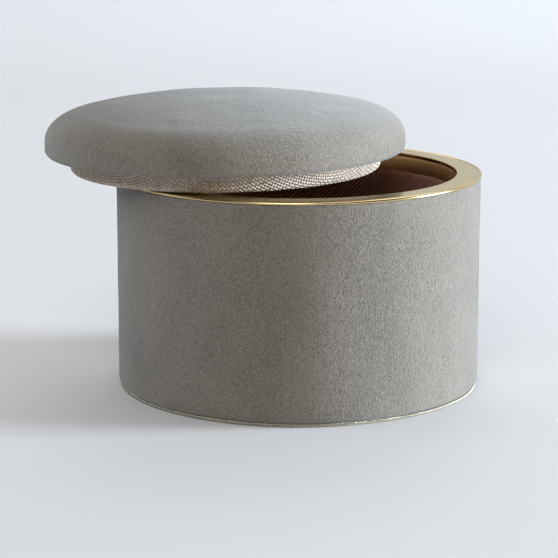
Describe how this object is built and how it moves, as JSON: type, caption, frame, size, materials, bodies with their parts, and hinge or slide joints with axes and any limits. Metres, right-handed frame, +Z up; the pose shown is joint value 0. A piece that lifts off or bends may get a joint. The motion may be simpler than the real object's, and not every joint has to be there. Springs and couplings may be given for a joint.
{
  "type": "jewellery box",
  "caption": "Round drum-shaped jewellery box covered in velvet, with a brass rim and a padded lift-off lid that leans half open on the rim.",
  "frame": {"origin": "centre of the base's underside, on the axis of the drum", "axes": "+Z up along the drum's axis, +X to the right, -Y towards the front; the lid at rest is pushed towards -X"},
  "size_m": [0.2153, 0.1843, 0.1429],
  "materials": {
    "velvet": "taupe-grey velvet with a soft sheen",
    "woven_fabric": "beige plaited weave",
    "brown_lining": "dark brown diagonal rib",
    "rim_brass": "polished",
    "collar_brass": "satin",
    "metallic_cord": "twisted pale metallic thread",
    "board": "raw fibreboard",
    "wadding": "matte",
    "foam": "matte foam",
    "base_card": "matte grey board",
    "base_felt": "matte felt",
    "staple_wire": "satin"
  },
  "bodies": {
    "box": {"base_felt": "base_felt", "base_card": "base_card", "base_braid": "metallic_cord", "base_board": "board", "drum_wall": "board", "drum_wadding": "wadding", "drum_velvet": "velvet", "rim_ring": "rim_brass", "collar_band": "collar_brass", "liner_card": "base_card", "wall_lining": "brown_lining", "floor_card": "base_card", "floor_foam": "foam", "floor_lining": "brown_lining"},
    "lid": {"plug_board": "board", "plug_fabric": "woven_fabric", "lid_staples": "staple_wire", "lid_board": "board", "lid_foam": "foam", "lid_velvet": "velvet"}
  },
  "joints": [
    {"name": "lid_lift", "type": "slide", "parent": "box", "child": "lid", "axis": [0, 0, 1], "range_m": [0, 0.1]}
  ]
}
